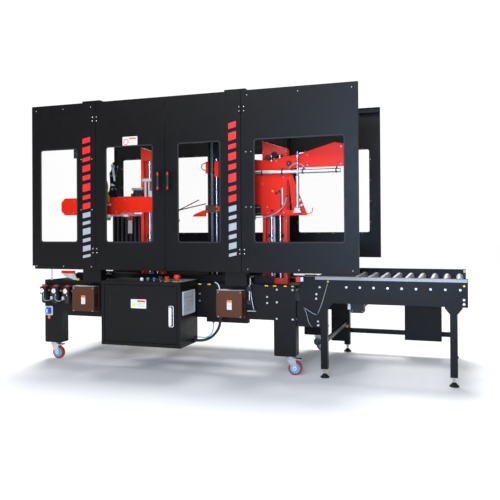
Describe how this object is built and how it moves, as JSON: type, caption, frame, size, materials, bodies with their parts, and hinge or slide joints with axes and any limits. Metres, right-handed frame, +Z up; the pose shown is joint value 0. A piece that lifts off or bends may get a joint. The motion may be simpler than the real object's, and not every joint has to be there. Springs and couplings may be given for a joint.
{
  "type": "carton sealer machine",
  "caption": "Carton sealer with a guarded taping section, flap folder on a mast, side belts, control cabinet, castors and a roller infeed conveyor.",
  "frame": {"origin": "bottom centre of the whole machine, on the floor", "axes": "+X along the length, from the outfeed end to the infeed conveyor; -Y is the operator side; +Z up"},
  "size_m": [3.275, 1.473, 2.081],
  "materials": {
    "black_paint": "satin textured powder coat",
    "red_paint": "satin powder coat",
    "bronze_paint": "satin powder coat",
    "clear_pane": "clear polycarbonate",
    "chrome": "polished",
    "grille": "light grey moulding",
    "black_plastic": "moulded",
    "green_plastic": "moulded",
    "blue_plastic": "moulded",
    "red_plastic": "moulded",
    "steel": "zinc plated",
    "tape": "wound film",
    "zinc": "zinc plated",
    "red_tyre": "polyurethane",
    "conduit": "corrugated",
    "air_tube": "polyurethane tube"
  },
  "bodies": {
    "machine": {"bed_frame": "black_paint", "bed_legs": "black_paint", "guard_frame": "black_paint", "front_guard_panels": "black_paint", "rear_guard_panels": "black_paint", "fixed_panes": "clear_pane", "door_hinges": "black_paint", "cabinet_shell": "black_paint", "cabinet_vent": "grille", "drive_covers": "bronze_paint", "air_unit": "black_plastic", "head_masts": "red_paint", "lower_tape_unit": "steel", "conveyor_frame": "black_paint", "conveyor_supports": "black_paint", "levelling_feet": "steel", "conveyor_gearmotor": "black_plastic", "control_conduit": "conduit", "air_hose": "air_tube", "frame_bolts": "steel"},
    "left_door": {"front_left_door": "black_paint", "front_left_pane": "clear_pane", "front_left_handle": "black_plastic"},
    "right_door": {"front_right_door": "black_paint", "front_right_pane": "clear_pane", "front_right_handle": "black_plastic"},
    "cabinet_door_body": {"cabinet_door": "black_paint"},
    "latch": {"cabinet_latch": "chrome"},
    "start": {"start_button": "green_plastic"},
    "reset": {"reset_button": "blue_plastic"},
    "stop": {"stop_button": "red_plastic"},
    "selector": {"mode_selector": "black_plastic"},
    "emergency": {"emergency_stop": "red_plastic"},
    "isolator": {"isolator_knob": "blue_plastic"},
    "taping_head": {"taping_carriage": "red_paint", "upper_tape_unit": "steel"},
    "reel": {"upper_tape_reel": "tape"},
    "entry_arm": {"upper_entry_arm": "steel"},
    "exit_arm": {"upper_exit_arm": "steel"},
    "folding_head": {"folder_carriage": "red_paint"},
    "kicker": {"kicker_arm": "black_paint"},
    "front_belt": {"front_belt_unit": "black_paint"},
    "rear_belt": {"rear_belt_unit": "black_paint"},
    "castor_front_left": {"castor_fork_front_left": "zinc"},
    "wheel_front_left": {"castor_wheel_front_left": "red_tyre"},
    "castor_front_right": {"castor_fork_front_right": "zinc"},
    "wheel_front_right": {"castor_wheel_front_right": "red_tyre"},
    "castor_rear_left": {"castor_fork_rear_left": "zinc"},
    "wheel_rear_left": {"castor_wheel_rear_left": "red_tyre"},
    "castor_rear_right": {"castor_fork_rear_right": "zinc"},
    "wheel_rear_right": {"castor_wheel_rear_right": "red_tyre"},
    "roller_1": {"conveyor_roller_1": "zinc"},
    "roller_2": {"conveyor_roller_2": "zinc"},
    "roller_3": {"conveyor_roller_3": "zinc"},
    "roller_4": {"conveyor_roller_4": "zinc"},
    "roller_5": {"conveyor_roller_5": "zinc"},
    "roller_6": {"conveyor_roller_6": "zinc"},
    "roller_7": {"conveyor_roller_7": "zinc"},
    "roller_8": {"conveyor_roller_8": "zinc"},
    "roller_9": {"conveyor_roller_9": "zinc"}
  },
  "joints": [
    {"name": "left_door_hinge", "type": "hinge", "parent": "machine", "child": "left_door", "pos_m": [-1.0565, -0.5425, 1.4], "axis": [0, 0, -1], "range_deg": [0, 115]},
    {"name": "right_door_hinge", "type": "hinge", "parent": "machine", "child": "right_door", "pos_m": [0.1255, -0.5425, 1.4], "axis": [0, 0, 1], "range_deg": [0, 115]},
    {"name": "cabinet_door_hinge", "type": "hinge", "parent": "machine", "child": "cabinet_door_body", "pos_m": [-0.8665, -0.7005, 0.44], "axis": [0, 0, -1], "range_deg": [0, 110]},
    {"name": "latch_turn", "type": "hinge", "parent": "cabinet_door_body", "child": "latch", "pos_m": [-0.3375, -0.7085, 0.486], "axis": [0, 1, 0], "range_deg": [0, 90]},
    {"name": "start_press", "type": "slide", "parent": "machine", "child": "start", "axis": [0, 0, -1], "range_m": [0, 0.004], "stiffness_N_per_m": 900, "springref_m": -0.002},
    {"name": "reset_press", "type": "slide", "parent": "machine", "child": "reset", "axis": [0, 0, -1], "range_m": [0, 0.004], "stiffness_N_per_m": 900, "springref_m": -0.002},
    {"name": "stop_press", "type": "slide", "parent": "machine", "child": "stop", "axis": [0, 0, -1], "range_m": [0, 0.004], "stiffness_N_per_m": 900, "springref_m": -0.002},
    {"name": "emergency_press", "type": "slide", "parent": "machine", "child": "emergency", "axis": [0, 0, -1], "range_m": [0, 0.006], "stiffness_N_per_m": 900, "springref_m": -0.002},
    {"name": "selector_turn", "type": "hinge", "parent": "machine", "child": "selector", "pos_m": [-0.452, -0.6465, 0.7], "axis": [0, 0, 1], "range_deg": [-45, 45]},
    {"name": "isolator_turn", "type": "hinge", "parent": "machine", "child": "isolator", "pos_m": [-1.5755, -0.4265, 0.391], "axis": [0, 1, 0], "range_deg": [0, 90]},
    {"name": "taping_head_lift", "type": "slide", "parent": "machine", "child": "taping_head", "axis": [0, 0, 1], "range_m": [-0.38, 0.02]},
    {"name": "reel_spin", "type": "hinge", "parent": "taping_head", "child": "reel", "pos_m": [-1.4675, 0.1, 1.42], "axis": [0, 1, 0], "continuous": true},
    {"name": "entry_arm_swing", "type": "hinge", "parent": "taping_head", "child": "entry_arm", "pos_m": [-1.0425, 0.1, 1.26], "axis": [0, -1, 0], "range_deg": [0, 45], "stiffness_Nm_per_rad": 12, "springref_deg": -6.88},
    {"name": "exit_arm_swing", "type": "hinge", "parent": "taping_head", "child": "exit_arm", "pos_m": [-1.2725, 0.1, 1.26], "axis": [0, 1, 0], "range_deg": [0, 45], "stiffness_Nm_per_rad": 12, "springref_deg": -6.88},
    {"name": "folding_head_lift", "type": "slide", "parent": "machine", "child": "folding_head", "axis": [0, 0, 1], "range_m": [-0.38, 0.02]},
    {"name": "kicker_swing", "type": "hinge", "parent": "folding_head", "child": "kicker", "pos_m": [0.3195, 0.1, 1.508], "axis": [0, -1, 0], "range_deg": [-20, 60]},
    {"name": "front_belt_slide", "type": "slide", "parent": "machine", "child": "front_belt", "axis": [0, 1, 0], "range_m": [-0.07, 0.09]},
    {"name": "rear_belt_slide", "type": "slide", "parent": "machine", "child": "rear_belt", "axis": [0, -1, 0], "range_m": [-0.07, 0.09]},
    {"name": "castor_swivel_front_left", "type": "hinge", "parent": "machine", "child": "castor_front_left", "pos_m": [-1.5495, -0.3645, 0.1], "axis": [0, 0, 1], "continuous": true},
    {"name": "wheel_spin_front_left", "type": "hinge", "parent": "castor_front_left", "child": "wheel_front_left", "pos_m": [-1.5155, -0.3645, 0.05], "axis": [0, 1, 0], "continuous": true},
    {"name": "castor_swivel_front_right", "type": "hinge", "parent": "machine", "child": "castor_front_right", "pos_m": [0.4365, -0.3645, 0.1], "axis": [0, 0, 1], "continuous": true},
    {"name": "wheel_spin_front_right", "type": "hinge", "parent": "castor_front_right", "child": "wheel_front_right", "pos_m": [0.4705, -0.3645, 0.05], "axis": [0, 1, 0], "continuous": true},
    {"name": "castor_swivel_rear_left", "type": "hinge", "parent": "machine", "child": "castor_rear_left", "pos_m": [-1.5495, 0.5645, 0.1], "axis": [0, 0, 1], "continuous": true},
    {"name": "wheel_spin_rear_left", "type": "hinge", "parent": "castor_rear_left", "child": "wheel_rear_left", "pos_m": [-1.5155, 0.5645, 0.05], "axis": [0, 1, 0], "continuous": true},
    {"name": "castor_swivel_rear_right", "type": "hinge", "parent": "machine", "child": "castor_rear_right", "pos_m": [0.4365, 0.5645, 0.1], "axis": [0, 0, 1], "continuous": true},
    {"name": "wheel_spin_rear_right", "type": "hinge", "parent": "castor_rear_right", "child": "wheel_rear_right", "pos_m": [0.4705, 0.5645, 0.05], "axis": [0, 1, 0], "continuous": true},
    {"name": "roller_spin_1", "type": "hinge", "parent": "machine", "child": "roller_1", "pos_m": [0.8439, 0.1, 0.652], "axis": [0, 1, 0], "continuous": true},
    {"name": "roller_spin_2", "type": "hinge", "parent": "machine", "child": "roller_2", "pos_m": [0.9371, 0.1, 0.652], "axis": [0, 1, 0], "continuous": true},
    {"name": "roller_spin_3", "type": "hinge", "parent": "machine", "child": "roller_3", "pos_m": [1.0303, 0.1, 0.652], "axis": [0, 1, 0], "continuous": true},
    {"name": "roller_spin_4", "type": "hinge", "parent": "machine", "child": "roller_4", "pos_m": [1.1235, 0.1, 0.652], "axis": [0, 1, 0], "continuous": true},
    {"name": "roller_spin_5", "type": "hinge", "parent": "machine", "child": "roller_5", "pos_m": [1.2167, 0.1, 0.652], "axis": [0, 1, 0], "continuous": true},
    {"name": "roller_spin_6", "type": "hinge", "parent": "machine", "child": "roller_6", "pos_m": [1.3099, 0.1, 0.652], "axis": [0, 1, 0], "continuous": true},
    {"name": "roller_spin_7", "type": "hinge", "parent": "machine", "child": "roller_7", "pos_m": [1.4031, 0.1, 0.652], "axis": [0, 1, 0], "continuous": true},
    {"name": "roller_spin_8", "type": "hinge", "parent": "machine", "child": "roller_8", "pos_m": [1.4963, 0.1, 0.652], "axis": [0, 1, 0], "continuous": true},
    {"name": "roller_spin_9", "type": "hinge", "parent": "machine", "child": "roller_9", "pos_m": [1.5895, 0.1, 0.652], "axis": [0, 1, 0], "continuous": true}
  ],
  "couplings": [
    {"joint": "exit_arm_swing", "follows": "entry_arm_swing", "ratio": 1},
    {"joint": "rear_belt_slide", "follows": "front_belt_slide", "ratio": 1},
    {"joint": "roller_spin_2", "follows": "roller_spin_1", "ratio": 1},
    {"joint": "roller_spin_3", "follows": "roller_spin_1", "ratio": 1},
    {"joint": "roller_spin_4", "follows": "roller_spin_1", "ratio": 1},
    {"joint": "roller_spin_5", "follows": "roller_spin_1", "ratio": 1},
    {"joint": "roller_spin_6", "follows": "roller_spin_1", "ratio": 1},
    {"joint": "roller_spin_7", "follows": "roller_spin_1", "ratio": 1},
    {"joint": "roller_spin_8", "follows": "roller_spin_1", "ratio": 1},
    {"joint": "roller_spin_9", "follows": "roller_spin_1", "ratio": 1}
  ]
}
